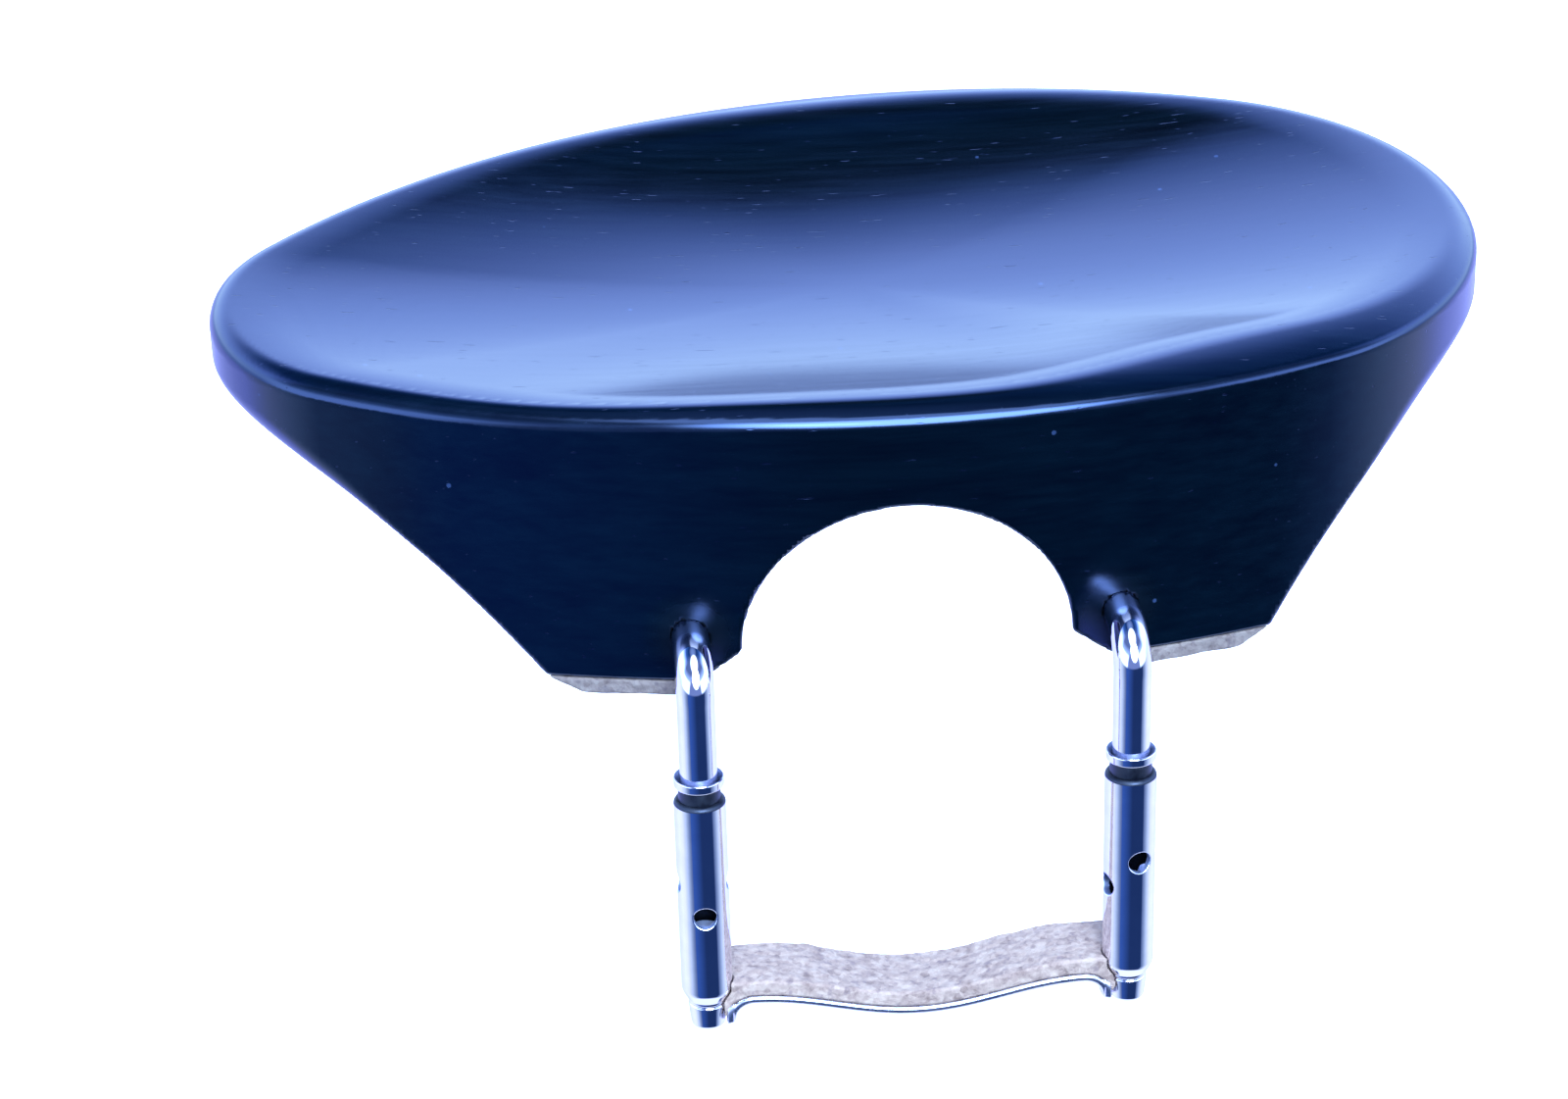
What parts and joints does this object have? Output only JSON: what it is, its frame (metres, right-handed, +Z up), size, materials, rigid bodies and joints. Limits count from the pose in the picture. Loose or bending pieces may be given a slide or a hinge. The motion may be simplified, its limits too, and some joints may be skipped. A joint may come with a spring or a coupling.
{
  "type": "violin chin rest",
  "caption": "Centre-mounted oval chin rest of dark wood with a dished top, an arch over the tailpiece and a chromed turnbuckle clamp with a cork-lined bracket.",
  "frame": {"origin": "midway between the two barrels, at the violin's outline edge just behind them, on the plane of the foot corks' undersides, where the violin's top lies", "axes": "+X to the player's right with the clamp facing the player, +Y inwards over the violin's top, +Z up away from the violin's top"},
  "size_m": [0.1235, 0.0783, 0.0671],
  "materials": {
    "ebony": "polished dark wood with fine pores",
    "cork": "raw granulated sheet cork",
    "chrome": "bright polished plating"
  },
  "bodies": {
    "chin_rest": {"chin_plate": "ebony", "foot_cork_left": "cork", "foot_cork_right": "cork", "hook_left": "chrome", "hook_right": "chrome"},
    "collar_left": {"barrel_collar_left": "chrome"},
    "collar_right": {"barrel_collar_right": "chrome"},
    "turnbuckle_left": {"barrel_left": "chrome"},
    "turnbuckle_right": {"barrel_right": "chrome"},
    "bracket": {"bracket_plate": "chrome", "bracket_stud_left": "chrome", "bracket_stud_right": "chrome", "bracket_cork": "cork"}
  },
  "joints": [
    {"name": "barrel_left_turn", "type": "hinge", "parent": "collar_left", "child": "turnbuckle_left", "pos_m": [-0.02, -0.003, -0.018], "axis": [0, 0, -1], "range_deg": [0, 3300]},
    {"name": "barrel_right_turn", "type": "hinge", "parent": "collar_right", "child": "turnbuckle_right", "pos_m": [0.02, -0.003, -0.018], "axis": [0, 0, -1], "range_deg": [0, 3300]},
    {"name": "collar_left_travel", "type": "slide", "parent": "chin_rest", "child": "collar_left", "axis": [0, 0, -1], "range_m": [0, 0.0055]},
    {"name": "collar_right_travel", "type": "slide", "parent": "chin_rest", "child": "collar_right", "axis": [0, 0, -1], "range_m": [0, 0.0055]},
    {"name": "clamp_open", "type": "slide", "parent": "chin_rest", "child": "bracket", "axis": [0, 0, -1], "range_m": [0, 0.011]}
  ],
  "couplings": [
    {"joint": "collar_left_travel", "follows": "clamp_open", "ratio": 0.5},
    {"joint": "collar_right_travel", "follows": "clamp_open", "ratio": 0.5},
    {"joint": "barrel_left_turn", "follows": "clamp_open", "rad_per_m": 5236},
    {"joint": "barrel_right_turn", "follows": "clamp_open", "rad_per_m": 5236}
  ]
}
